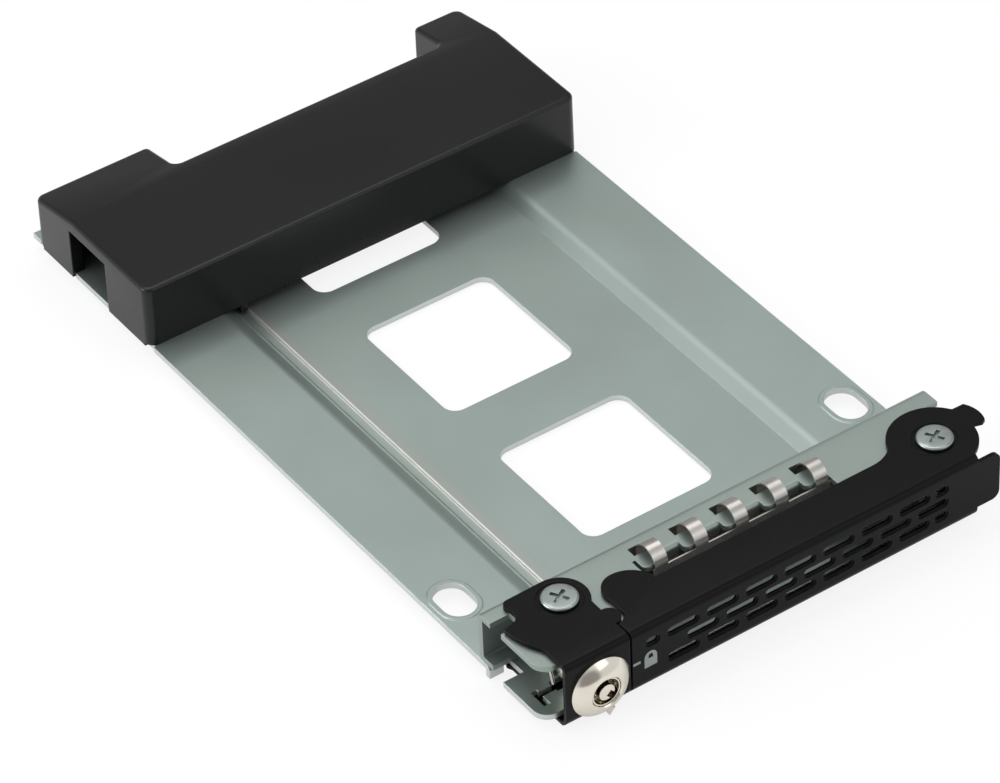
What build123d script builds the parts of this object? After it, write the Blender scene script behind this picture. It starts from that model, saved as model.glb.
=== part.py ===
from build123d import *
import os
from math import atan2, cos, radians, sin, tan

os.makedirs("parts", exist_ok=True)

# A removable tray for a 2.5 inch drive, seen from the front: X to the right, Y to the rear, Z up
# The origin is on the underside of the sunk floor, on the midline, halfway between two windows

# Sheets and clearances
steel = 0.8  # zinc-plated tray and bracket
skin = 0.55  # painted sheet of the handle and the latch
skin_gap = 0.12  # air between painted sheet and steel
fold = 0.3  # inside radius of the steel folds
skin_fold = 0.4  # inside radius of the painted fold along the top
low_fold = 0.95  # inside radius of the painted fold along the bottom
hole_gap = 0.05  # radial room round a fixed shank
turn_gap = 0.06  # radial room of a turning hole
seam = 0.3  # joint line between handle and latch

# Tray plate
plate_half = 34.4
plate_rear = 69.1
recess_depth = 1.3
recess_floor = 21.2  # half width of the sunk floor
recess_run = 1.8  # width of each slope
recess_front = -31.0
upper_bend = 2.2
lower_bend = 1.1
window_width = 20.2
window_length = 21.1
window_pitch = 30.7
window_corner = 2.0
window_first = -15.5
groove_inset = 1.3  # from the edge of the sunk floor
groove_width = 1.1
groove_depth = 0.45

# Screw holes of a 2.5 inch drive
drive_pitch_x = 61.72
drive_front_y = -26.0
drive_rear_y = 50.6
slot_width = 4.6
slot_length = 6.6
collar_width = 0.7
collar_height = 0.12

# Steel channel at the front
wall_rear = -36.6
channel_height = 8.0  # from the seat to the top of the flange
channel_front = -50.2
ear_reach = 0.2  # ears of the channel past the edge of the tray
ear_rear = -41.8
ear_corner = 2.2
neck_inset = 2.8
lip_front = -38.6
lip_width = 2.1
lip_height = 2.0
foot_depth = 4.4
short_foot = 2.0

# Painted front
front_face = -52.1
handle_rear = -45.3
pivot_inset = 5.1  # from the right edge of the tray
pivot_y = -46.1
pivot_lobe = 6.2
latch_inset = 8.8  # from the left edge of the tray
latch_y = -41.55
latch_lobe = 3.9
latch_edge = 2.0
seam_inset = 11.7
bump_y = -47.7
bump_radius = 1.5
bump_offset = 0.1
fold_end = 2.3  # from the pivot to the right end of the folds
lobe_step = 5.6  # smaller radius of the lobe in front of the hook
low_lobe = 5.0
flap_corner = 1.2
flap_reach = 0.7
shoulder_run = 9.3  # from the pivot to where the rear edge starts to swell

# Bushes and screws
bush_radius = 3.0
shoulder_radius = 2.0
screw_radius = 1.2
screw_seat = 0.6
screw_head = 2.45
head_height = 0.45
low_head_height = 0.35
cross_width = 0.55
cross_reach = 1.3

# Lock
lock_inset = 7.0
lock_z = 5.25
lock_face = 4.35
lock_rim = 0.35
lock_proud = 1.7
lock_lip = 2.45
lock_body = 2.65
lock_wall = 0.45
lock_rear = -46.8
plug_radius = 2.1
plug_behind = 0.2
key_ring = 1.9
post_radius = 1.15
key_depth = 2.6
cam_thick = 0.6
cam_width = 2.0
cam_floor_gap = 0.2

# Return springs, coiled round the bushes
handle_spring_rise = 1.6  # from the seat to the first coil
latch_spring_rise = 4.4

# Grille in the handle's front
grille_inset = 2.45  # from the pivot to the right end of the slots
grille_pitch = 6.0
grille_slot = 5.0
grille_short = 2.3
grille_height = 1.5
grille_row = 2.1
grille_step = 0.28
grille_columns = 7
grille_z = 5.95

# Spring fingers
finger_count = 5
finger_pitch = 6.25
finger_first = -11.4
finger_width = 2.0
finger_arch = 2.1
finger_sheet = 0.2
finger_y = -41.2
tongue_front = -42.9

# Moulded rear block
block_front = 38.7
block_rear = 67.2
block_height = 9.4
rib_pitch = 12.0
rib_width = 1.0
block_half = plate_half + 0.4
block_wall = 1.8
block_corner = 1.4
block_edge = 0.6
block_draft = 0.4
skirt = 0.6  # side walls reach past the edge of the plate
skirt_low = 0.3
notch_left = -16.6
notch_right = 27.1
notch_front = 60.0
ramp_start = 57.5
ramp_drop = 1.8
side_window_front = 49.2
side_window_rear = 58.2
side_window_top = 7.5
boss_radius = 2.6
block_cross = 2.2
block_cross_width = 0.6

# Places and levels that follow from the sizes above
groove_x = groove_inset - recess_floor
ear_x = plate_half + ear_reach
neck_x = plate_half - neck_inset
pivot_x = plate_half - pivot_inset
latch_x = latch_inset - plate_half
latch_left = latch_edge - plate_half
seam_x = seam_inset - plate_half
lock_x = lock_inset - plate_half
flap_end = plate_half + flap_reach
grille_right = pivot_x - grille_inset
seat = steel + recess_depth
floor_under = seat - steel
flange_top = seat + channel_height
flange_under = flange_top - steel
cover_top_under = flange_top + skin_gap
cover_top = cover_top_under + skin
cover_low_top = floor_under - skin_gap
cover_low = cover_low_top - skin
cam_reach = lock_z - floor_under - cam_floor_gap
rivet_pitch = 0.66 * recess_floor
wall_front = wall_rear - steel
recess_top = recess_floor + recess_run
slope_shift = steel * tan(atan2(recess_depth, recess_run) / 2)
drive_half = drive_pitch_x / 2
block_top = seat + block_height
swing_clear = seam_x + bump_offset + bump_radius + seam
fold_back = front_face + skin + low_fold


def layer(height):
    """Horizontal sketch plane at a height."""
    return Plane.XY.offset(height)


def across(y):
    """Upright sketch plane that faces the front, at a depth y."""
    return Plane.XZ.offset(-y)


def along(x):
    """Upright sketch plane that faces right, at a side position x."""
    return Plane.YZ.offset(x)


def save(piece, label):
    piece.part.label = label
    export_step(piece.part, f"parts/{label}.step")


def box_sketch(x0, x1, y0, y1, mode=Mode.ADD):
    """Rectangle from two opposite corners."""
    with Locations(((x0 + x1) / 2, (y0 + y1) / 2)):
        Rectangle(x1 - x0, y1 - y0, mode=mode)


# Tray plate: side strips, slopes and the sunk floor as one folded section, then the flat front
with BuildPart() as tray_plate:
    with BuildSketch(across(plate_rear)) as section:
        with BuildLine():
            Polyline(
                (-plate_half, floor_under),
                (-plate_half, seat),
                (-recess_top, seat),
                (-recess_floor, steel),
                (recess_floor, steel),
                (recess_top, seat),
                (plate_half, seat),
                (plate_half, floor_under),
                (recess_top + slope_shift, floor_under),
                (recess_floor + slope_shift, 0),
                (-recess_floor - slope_shift, 0),
                (-recess_top - slope_shift, floor_under),
                close=True,
            )
        make_face()
        bends = section.vertices().filter_by(lambda v: abs(v.X) < plate_half - 1)
        upper = bends.filter_by(lambda v: v.Y > steel + 0.01)
        lower = bends.filter_by(lambda v: v.Y <= steel + 0.01)
        fillet(upper.filter_by(lambda v: abs(v.X) > recess_floor + 1), upper_bend)
        fillet(lower, lower_bend)
    extrude(amount=plate_rear - recess_front)
    # End wall of the sunk floor
    with BuildSketch(across(recess_front)):
        with BuildLine():
            Polyline(
                (-recess_top - slope_shift, floor_under),
                (-recess_floor - slope_shift, 0),
                (recess_floor + slope_shift, 0),
                (recess_top + slope_shift, floor_under),
                close=True,
            )
        make_face()
    extrude(amount=steel)
    # Flat front with its ears, necks and round end under the pivot
    with BuildSketch(layer(floor_under)) as front_floor:
        box_sketch(-plate_half, plate_half, lip_front + steel, recess_front)
        box_sketch(-neck_x, neck_x, channel_front, lip_front + steel)
        box_sketch(-ear_x, -neck_x, channel_front, ear_rear)
        box_sketch(neck_x, pivot_x + pivot_y - channel_front, pivot_y, ear_rear)
        corner = front_floor.vertices().sort_by_distance((-ear_x, channel_front))[0]
        fillet(corner, ear_corner)
        box_sketch(pivot_x, ear_x, channel_front, pivot_y, mode=Mode.SUBTRACT)
        with Locations((pivot_x, pivot_y)):
            Circle(pivot_y - channel_front)
    extrude(amount=steel)
    # Lips turned down in front of the side strips
    for side in (-1, 1):
        middle = side * (plate_half - lip_width / 2)
        with BuildSketch(along(middle - lip_width / 2)) as lip:
            box_sketch(lip_front, lip_front + steel, seat - lip_height, seat)
            box_sketch(lip_front, lip_front + 2 * steel, floor_under, seat)
            fillet(lip.vertices().sort_by_distance((lip_front, seat))[0], steel)
        extrude(amount=lip_width)
        # Relief cut beside the lip
        inner = side * (plate_half - lip_width)
        with BuildSketch(layer(floor_under)):
            box_sketch(min(inner, side * neck_x), max(inner, side * neck_x), ear_rear, lip_front + 2 * steel)
        extrude(amount=steel, mode=Mode.SUBTRACT)
    # Edges cut back where the rear block reaches down past them
    for side in (-1, 1):
        with BuildSketch(layer(floor_under)):
            for y0, y1 in ((block_front - hole_gap, side_window_front), (side_window_rear, block_rear + hole_gap)):
                edge = block_half - skirt - hole_gap
                box_sketch(min(side * edge, side * ear_x), max(side * edge, side * ear_x), y0, y1)
        extrude(amount=steel, mode=Mode.SUBTRACT)
    # Windows in the sunk floor
    with BuildSketch(layer(0)):
        for row in range(3):
            with Locations((0, window_first + row * window_pitch)):
                RectangleRounded(window_width, window_length, window_corner)
    extrude(amount=steel, mode=Mode.SUBTRACT)
    # Groove pressed along the left of the sunk floor
    with BuildSketch(across(plate_rear)):
        with BuildLine():
            Polyline(
                (groove_x - groove_width / 2 - groove_depth, steel),
                (groove_x - groove_width / 2, steel - groove_depth),
                (groove_x + groove_width / 2, steel - groove_depth),
                (groove_x + groove_width / 2, steel),
                close=True,
            )
        make_face()
    extrude(amount=plate_rear - recess_front, mode=Mode.SUBTRACT)
    # Slots for the drive screws, each with a low pressed collar
    with BuildSketch(layer(seat)):
        with Locations((-drive_half, drive_front_y), (drive_half, drive_front_y)):
            SlotOverall(slot_length + 2 * collar_width, slot_width + 2 * collar_width, rotation=90)
    extrude(amount=collar_height, taper=45)
    with BuildSketch(layer(floor_under)):
        with Locations((-drive_half, drive_front_y), (drive_half, drive_front_y)):
            SlotOverall(slot_length, slot_width, rotation=90)
        with Locations((pivot_x, pivot_y), (latch_x, latch_y)):
            Circle(shoulder_radius + hole_gap)
    extrude(amount=steel + collar_height, mode=Mode.SUBTRACT)
    # Countersinks for the two block screws
    for side in (-1, 1):
        with Locations(Location((side * drive_half, drive_rear_y, floor_under), (180, 0, 0))):
            CounterSinkHole(1.5 + hole_gap, 2.6 + hole_gap, depth=3 * steel, counter_sink_angle=90)
    # T-shaped slot that the lock cam drops into
    stem_y = lock_rear + plug_behind + cam_thick / 2
    with BuildSketch(layer(floor_under)):
        box_sketch(lock_x - 5.65, lock_x - 4.75, stem_y - 2.0, stem_y + 0.95)
        box_sketch(lock_x - 5.0, lock_x - 2.0, stem_y - 0.45, stem_y + 0.45)
        box_sketch(lock_x - 2.8, lock_x + 2.4, stem_y - 0.8, stem_y + 1.1)
    extrude(amount=steel, mode=Mode.SUBTRACT)
    # Rivet holes of the bracket foot
    rivet_y = wall_front - foot_depth / 2 + 0.2
    rivet_spots = [(column * rivet_pitch, rivet_y) for column in (-1, 0, 1)]
    with BuildSketch(layer(floor_under)):
        with Locations(*rivet_spots):
            Circle(0.9 + hole_gap)
    extrude(amount=steel, mode=Mode.SUBTRACT)
save(tray_plate, "tray_plate")

# Front bracket: foot, wall and top flange folded from one sheet
with BuildPart() as front_bracket:
    foot_front = wall_front - foot_depth
    with BuildSketch(along(-ear_x)) as channel:
        with BuildLine():
            Polyline(
                (foot_front, seat),
                (wall_rear, seat),
                (wall_rear, flange_top),
                (channel_front, flange_top),
                (channel_front, flange_under),
                (wall_front, flange_under),
                (wall_front, seat + steel),
                (foot_front, seat + steel),
                close=True,
            )
        make_face()
        fillet(channel.vertices().filter_by(lambda v: abs(v.X - wall_rear) < 0.01), steel + fold)
        inner = channel.vertices().filter_by(lambda v: abs(v.X - wall_front) < 0.01)
        fillet(inner, fold)
    extrude(amount=2 * ear_x)
    # The wall and foot stop at the width of the tray
    for side in (-1, 1):
        with BuildSketch(layer(seat)):
            box_sketch(min(side * plate_half, side * ear_x), max(side * plate_half, side * ear_x), foot_front, wall_rear)
        extrude(amount=channel_height - steel, mode=Mode.SUBTRACT)
    # Foot cut back beside the latch bush and at the left end
    with BuildSketch(layer(seat)):
        box_sketch(-plate_half, latch_x - 4.4, foot_front, wall_front - short_foot)
        box_sketch(latch_x - 4.4, latch_x + 6.1, foot_front, wall_front)
    extrude(amount=steel + fold, mode=Mode.SUBTRACT)
    # Outline of the top flange
    notch_rear = wall_front - short_foot
    with BuildSketch(layer(flange_under)):
        box_sketch(-ear_x, -neck_x, ear_rear, notch_rear)
        box_sketch(neck_x, ear_x, ear_rear, notch_rear - 0.6)
        box_sketch(finger_first - 2.8, finger_first + 4 * finger_pitch + 1.3, channel_front, finger_y + 0.3)
    extrude(amount=steel, mode=Mode.SUBTRACT)
    with BuildSketch(layer(flange_under)):
        box_sketch(pivot_x, ear_x, channel_front, ear_rear)
        with Locations((pivot_x, pivot_y)):
            Circle(pivot_y - channel_front, mode=Mode.SUBTRACT)
        box_sketch(pivot_x, pivot_x + pivot_y - channel_front, pivot_y, ear_rear, mode=Mode.SUBTRACT)
    extrude(amount=steel, mode=Mode.SUBTRACT)
    front_corner = front_bracket.edges().filter_by(Axis.Z).sort_by_distance((-ear_x, channel_front, flange_top))[0]
    fillet(front_corner, ear_corner)
    # Windows behind the spring fingers, tongues under them and rounded lips between them
    for finger in range(finger_count):
        x = finger_first + finger * finger_pitch
        with BuildSketch(layer(flange_under)):
            box_sketch(x - 1.9, x + 1.15, finger_y + 1.0, finger_y + 2.5)
        extrude(amount=steel, mode=Mode.SUBTRACT)
        with BuildSketch(layer(flange_under)) as tongue:
            box_sketch(x - 2.3, x + 1.15, tongue_front, finger_y + 0.4)
            fillet(tongue.vertices().group_by(Axis.Y)[0], 0.7)
        extrude(amount=steel)
    for gap in range(finger_count - 1):
        left = finger_first + gap * finger_pitch + 1.15
        with BuildSketch(along(left)) as lip:
            box_sketch(finger_y - 0.5, finger_y + 0.3, flange_top - 1.7, flange_top)
            fillet(lip.vertices().sort_by_distance((finger_y - 0.5, flange_top))[0], 0.75)
        extrude(amount=finger_pitch - 3.45)
    # Holes for the bushes, the foot rivets and the strip rivets
    with BuildSketch(layer(flange_under)):
        with Locations((pivot_x, pivot_y), (latch_x, latch_y)):
            Circle(shoulder_radius + hole_gap)
    extrude(amount=steel, mode=Mode.SUBTRACT)
    with BuildSketch(layer(seat)):
        with Locations(*rivet_spots):
            Circle(0.9 + hole_gap)
    extrude(amount=steel, mode=Mode.SUBTRACT)
    strip_rivet_z = seat + 5.75
    strip_rivet_spots = [(-5.0, strip_rivet_z), (7.5, strip_rivet_z)]
    with BuildSketch(across(wall_rear)):
        with Locations(*strip_rivet_spots):
            Circle(0.8 + hole_gap)
    extrude(amount=steel, mode=Mode.SUBTRACT)
save(front_bracket, "front_bracket")

# Rivets that hold the bracket foot to the tray, flush below
with BuildPart() as bracket_rivets:
    with BuildSketch(layer(floor_under)):
        with Locations(*rivet_spots):
            Circle(0.9)
    extrude(amount=2 * steel)
    with BuildSketch(layer(seat + steel)):
        with Locations(*rivet_spots):
            Circle(1.5)
    extrude(amount=0.5, taper=25)
save(bracket_rivets, "bracket_rivets")

# Moulded rear block: drafted shell with a connector notch, a ramped back and screw bosses
with BuildPart() as rear_block:
    with BuildSketch(layer(seat)) as outline:
        box_sketch(-block_half, block_half, block_front, block_rear)
        fillet(outline.vertices(), block_corner)
    extrude(amount=block_height, taper=block_draft)
    # Skirts down both sides
    for side in (-1, 1):
        with BuildSketch(layer(floor_under + skirt_low)):
            near = block_front + block_corner
            for y0, y1 in ((near, side_window_front - hole_gap), (side_window_rear + hole_gap, block_rear - block_corner)):
                edge = block_half - skirt
                box_sketch(min(side * edge, side * block_half), max(side * edge, side * block_half), y0, y1)
        extrude(amount=seat - floor_under - skirt_low)
    with BuildSketch(layer(seat)) as notch:
        box_sketch(notch_left, notch_right, notch_front, block_rear + 3)
        fillet(notch.vertices().group_by(Axis.Y)[0], 1.2)
    extrude(amount=block_height, mode=Mode.SUBTRACT)
    for x in (notch_left, notch_right):
        fillet(rear_block.edges().sort_by_distance((x, block_rear, seat + block_height / 2))[0], 0.8)
    # The top falls away behind the notch line
    with BuildSketch(along(-block_half)):
        with BuildLine():
            Polyline(
                (ramp_start, block_top + 1),
                (ramp_start, block_top),
                (block_rear, block_top - ramp_drop),
                (block_rear + 1, block_top + 1),
                close=True,
            )
        make_face()
    extrude(amount=2 * block_half, mode=Mode.SUBTRACT)
    top_faces = rear_block.faces().filter_by(lambda f: f.normal_at().Z > 0.9 and f.center().Z > block_top - ramp_drop)
    rim = ShapeList(e for f in top_faces for e in f.edges() if abs(e.center().Y - ramp_start) > 0.05)
    fillet(rim, block_edge)
    # Hollow, open below
    with BuildSketch(layer(seat)):
        box_sketch(-block_half + block_wall, block_half - block_wall, block_front + block_wall, notch_front - block_wall)
        box_sketch(-block_half + block_wall, notch_left - block_wall, notch_front - 3, block_rear - block_wall)
        box_sketch(notch_right + block_wall, block_half - block_wall, notch_front - 3, block_rear - block_wall)
    extrude(amount=block_height - ramp_drop - block_wall, mode=Mode.SUBTRACT)
    # Bosses for the screws, stiffening ribs and the lug that sits in the groove
    with BuildSketch(layer(seat)):
        with Locations((-drive_half, drive_rear_y), (drive_half, drive_rear_y)):
            Circle(boss_radius)
    extrude(amount=block_height - ramp_drop - block_wall + 0.1)
    with BuildSketch(layer(seat + 0.6)):
        for x in (-rib_pitch, 0.0, rib_pitch):
            box_sketch(x - rib_width / 2, x + rib_width / 2, block_front + 0.5, notch_front - 0.5)
    extrude(amount=block_height - ramp_drop - block_wall - 0.5)
    with BuildSketch(layer(steel + 0.05)):
        box_sketch(groove_x - groove_width / 2, groove_x + groove_width / 2, block_front + 0.2, block_front + 3)
    extrude(amount=seat - steel + 0.5)
    # Side windows beside the bosses
    for side in (-1, 1):
        edge = side * block_half
        with BuildSketch(layer(seat)):
            box_sketch(edge - 2.4, edge + 2.4, side_window_front, side_window_rear)
            with Locations((side * drive_half, drive_rear_y)):
                Circle(boss_radius, mode=Mode.SUBTRACT)
        extrude(amount=side_window_top, mode=Mode.SUBTRACT)
    # Pilot holes
    for side in (-1, 1):
        with Locations(Location((side * drive_half, drive_rear_y, floor_under), (180, 0, 0))):
            CounterSinkHole(1.5 + hole_gap, 2.6 + hole_gap, depth=6.6, counter_sink_angle=90)
save(rear_block, "rear_block")

# Countersunk screws that hold the block from below
with BuildPart() as block_screws:
    for side in (-1, 1):
        with BuildSketch(Plane.XZ.offset(-drive_rear_y)):
            with BuildLine():
                Polyline(
                    (side * drive_half, floor_under),
                    (side * drive_half + 2.6, floor_under),
                    (side * drive_half + 1.5, floor_under + 1.1),
                    (side * drive_half + 1.5, floor_under + 6.0),
                    (side * drive_half, floor_under + 6.0),
                    close=True,
                )
            make_face()
        revolve(axis=Axis((side * drive_half, drive_rear_y, 0), (0, 0, 1)))
        with BuildSketch(layer(floor_under)):
            with Locations((side * drive_half, drive_rear_y)):
                Rectangle(block_cross, block_cross_width)
                Rectangle(block_cross_width, block_cross)
        extrude(amount=0.8, mode=Mode.SUBTRACT)
save(block_screws, "block_screws")


def bush(x, y):
    """Shouldered bush between floor and flange, tapped right through."""
    with BuildPart() as made:
        with BuildSketch(layer(seat)):
            with Locations((x, y)):
                Circle(bush_radius)
        extrude(amount=flange_under - seat)
        with BuildSketch(layer(cover_low - hole_gap)):
            with Locations((x, y)):
                Circle(shoulder_radius)
        extrude(amount=cover_top - cover_low + 2 * hole_gap)
        with BuildSketch(layer(cover_low - hole_gap)):
            with Locations((x, y)):
                Circle(screw_radius + hole_gap)
        extrude(amount=cover_top - cover_low + 2 * hole_gap, mode=Mode.SUBTRACT)
    return made


def top_screw(x, y):
    """Low rounded screw with a cross recess, from above."""
    under = cover_top + hole_gap
    with BuildPart() as made:
        with BuildSketch(layer(under)):
            with Locations((x, y)):
                Circle(screw_head)
        extrude(amount=head_height)
        fillet(made.edges().group_by(Axis.Z)[-1], head_height * 0.75)
        with BuildSketch(layer(under)):
            with Locations((x, y)):
                Circle(screw_radius)
        extrude(amount=-4.0)
        with BuildSketch(layer(under + head_height)):
            with Locations((x, y)):
                Rectangle(2 * cross_reach, cross_width, rotation=30)
                Rectangle(cross_width, 2 * cross_reach, rotation=30)
        extrude(amount=-0.45, mode=Mode.SUBTRACT)
    return made


def low_screw(x, y):
    """Thin flat-headed screw from below."""
    top = cover_low - hole_gap
    with BuildPart() as made:
        with BuildSketch(layer(top)):
            with Locations((x, y)):
                Circle(screw_head)
        extrude(amount=-low_head_height)
        with BuildSketch(layer(top)):
            with Locations((x, y)):
                Circle(screw_radius)
        extrude(amount=3.5)
        with BuildSketch(layer(top - low_head_height)):
            with Locations((x, y)):
                Rectangle(2.4, 0.6)
                Rectangle(0.6, 2.4)
        extrude(amount=0.6, mode=Mode.SUBTRACT)
    return made


for label, x, y in (("pivot", pivot_x, pivot_y), ("latch", latch_x, latch_y)):
    save(bush(x, y), f"{label}_bush")
    save(top_screw(x, y), f"{label}_screw")
    save(low_screw(x, y), f"{label}_lower_screw")


def torsion_spring(x, y, start, wall_y, front_leg):
    """Wound spring round a bush: three turns, a leg to the wall and a leg to the front."""
    wire = 0.25
    coil = bush_radius + 0.2 + wire
    pitch = 2.6 * wire
    top = start + 3 * pitch
    wall_leg = [(x - coil, y, start), (x - coil, wall_y, start)]
    long_leg = [(x - coil, y, top)] + front_leg
    with BuildPart() as made:
        with BuildLine(Plane(origin=(x, y, start), x_dir=(-1, 0, 0))) as path:
            coils = Helix(pitch=pitch, height=3 * pitch, radius=coil)
        with BuildSketch(Plane(origin=path.line @ 0, z_dir=path.line % 0)):
            Circle(wire)
        sweep(path=path.line, is_frenet=True)
        for points in (wall_leg, long_leg):
            for near, far in zip(points, points[1:]):
                run = Vector(*far) - Vector(*near)
                with BuildSketch(Plane(origin=near, z_dir=run)):
                    Circle(wire * 0.98)
                extrude(amount=run.length)
                with Locations(far):
                    Sphere(wire * 0.98)
    return made


# Handle: channel of painted sheet with a pivot lobe, a hook and a rounded left lobe
def c_section():
    """Folded front of the painted channel, seen from the right."""
    y_rear = fold_back + 0.3
    with BuildSketch(along(0)) as profile:
        box_sketch(front_face, y_rear, cover_low, cover_top)
        front = profile.vertices().filter_by(lambda v: v.X < front_face + 0.01)
        fillet(front.sort_by(Axis.Y)[-1], skin + skin_fold)
        low = profile.vertices().filter_by(lambda v: v.X < front_face + 0.01).sort_by(Axis.Y)[0]
        fillet(low, skin + low_fold)
        with BuildSketch(along(0), mode=Mode.SUBTRACT) as hollow:
            box_sketch(front_face + skin, y_rear, cover_low_top, cover_top_under)
            inner = hollow.vertices().filter_by(lambda v: v.X < front_face + skin + 0.01)
            fillet(inner.sort_by(Axis.Y)[-1], skin_fold)
            inner = hollow.vertices().filter_by(lambda v: v.X < front_face + skin + 0.01)
            fillet(inner.sort_by(Axis.Y)[0], low_fold)
    return profile.sketch_local


def handle_blank(lobe, with_hook):
    """Plan of the handle's flat sheet behind the fold."""
    top_fold_back = front_face + skin + skin_fold
    rear_bend_x = pivot_x - shoulder_run
    angle = radians(42)
    lobe_point = (pivot_x - lobe * sin(angle), pivot_y + lobe * cos(angle))
    with BuildSketch() as plan:
        box_sketch(swing_clear, pivot_x, top_fold_back, handle_rear)
        # Rounded lobe at the left
        with BuildLine() as left_lobe:
            top = (swing_clear + 2.7, handle_rear + 3.55)
            rise = TangentArc(top, (swing_clear, handle_rear - 0.2), tangent=(-1, 0))
            drop = TangentArc(top, (swing_clear + 6.9, handle_rear), tangent=(1, 0))
            Line(rise @ 1, (swing_clear, top_fold_back))
            Line((swing_clear, top_fold_back), (swing_clear + 6.9, top_fold_back))
            Line((swing_clear + 6.9, top_fold_back), drop @ 1)
        make_face()
        # Lobe round the pivot, stepped in below the hook, and the sweep that leads into it
        with Locations((pivot_x, pivot_y)):
            Circle(lobe)
        box_sketch(pivot_x, pivot_x + 2 * lobe, pivot_y - 2 * lobe, pivot_y - 0.7, mode=Mode.SUBTRACT)
        with Locations((pivot_x, pivot_y)):
            Circle(min(lobe, lobe_step))
        with BuildLine() as shoulder:
            sweep_in = TangentArc((rear_bend_x, handle_rear), lobe_point, tangent=(1, 0))
            Line(sweep_in @ 1, (pivot_x, pivot_y))
            Line((pivot_x, pivot_y), (rear_bend_x, pivot_y))
            Line((rear_bend_x, pivot_y), (rear_bend_x, handle_rear))
        make_face()
        box_sketch(pivot_x - lobe - 1, pivot_x + lobe + 1, pivot_y - 2 * lobe, top_fold_back, mode=Mode.SUBTRACT)
        box_sketch(seam_x + seam, swing_clear + 1, top_fold_back, bump_y - 1)
        box_sketch(pivot_x, pivot_x + fold_end, top_fold_back, pivot_y)
        if with_hook:
            with BuildLine():
                Line((pivot_x + 4.0, pivot_y + 4.4), (pivot_x + 5.4, pivot_y + 3.2))
                Line((pivot_x + 5.4, pivot_y + 3.2), (pivot_x + 7.1, pivot_y + 3.15))
                ThreePointArc(
                    (pivot_x + 7.1, pivot_y + 3.15),
                    (pivot_x + 7.75, pivot_y + 1.5),
                    (pivot_x + 7.45, pivot_y - 0.8),
                )
                Line((pivot_x + 7.45, pivot_y - 0.8), (pivot_x + 6.85, pivot_y - 1.05))
                Line((pivot_x + 6.85, pivot_y - 1.05), (pivot_x + 5.5, pivot_y - 0.6))
                Line((pivot_x + 5.5, pivot_y - 0.6), (pivot_x + 3.0, pivot_y - 1.5))
                Line((pivot_x + 3.0, pivot_y - 1.5), (pivot_x + 4.0, pivot_y + 4.4))
            make_face()
        with Locations((seam_x + bump_offset, bump_y)):
            Circle(bump_radius + seam, mode=Mode.SUBTRACT)
        with Locations((pivot_x, pivot_y)):
            Circle(shoulder_radius + turn_gap, mode=Mode.SUBTRACT)
    return plan.sketch_local


painted_section = c_section()
handle_top_plan = handle_blank(pivot_lobe, True)
handle_low_plan = handle_blank(low_lobe, False)
with BuildPart() as handle:
    with BuildSketch(along(seam_x + seam)):
        add(painted_section)
    extrude(amount=pivot_x + fold_end - seam_x - seam)
    with BuildSketch(layer(cover_top_under)):
        add(handle_top_plan)
    extrude(amount=skin)
    with BuildSketch(layer(cover_low)):
        add(handle_low_plan)
    extrude(amount=skin)
    # Flap beyond the end of the fold
    with BuildSketch(across(front_face + skin)) as flap:
        box_sketch(pivot_x - 1, flap_end, seat + 0.2, flange_top - 0.3)
        fillet(flap.vertices().group_by(Axis.X)[-1], flap_corner)
    extrude(amount=skin)
    # Grille: three staggered rows of rounded slots, each with a shallow step round it
    for row in range(3):
        z = grille_z + (1 - row) * grille_row
        middle_row = row == 1
        first_right = grille_right if middle_row else grille_right - grille_pitch / 2
        slots = [(first_right - column * grille_pitch, grille_slot) for column in range(grille_columns)]
        if not middle_row:
            slots.append((grille_right, grille_short))
        if row == 0:
            slots.append((first_right - grille_columns * grille_pitch, grille_short))
        for right, length in slots:
            for depth, inset in ((0.2, 0.0), (skin, grille_step)):
                with BuildSketch(across(front_face)):
                    with Locations((right - length / 2, z)):
                        SlotOverall(length - 2 * inset, grille_height - 2 * inset)
                extrude(amount=-depth, mode=Mode.SUBTRACT)
    # Shallow seat round the pivot screw
    with BuildSketch(layer(cover_top)):
        with Locations((pivot_x, pivot_y)):
            Circle(screw_head + screw_seat)
            Circle(shoulder_radius, mode=Mode.SUBTRACT)
    extrude(amount=-0.12, mode=Mode.SUBTRACT)
save(handle, "handle")


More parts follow.
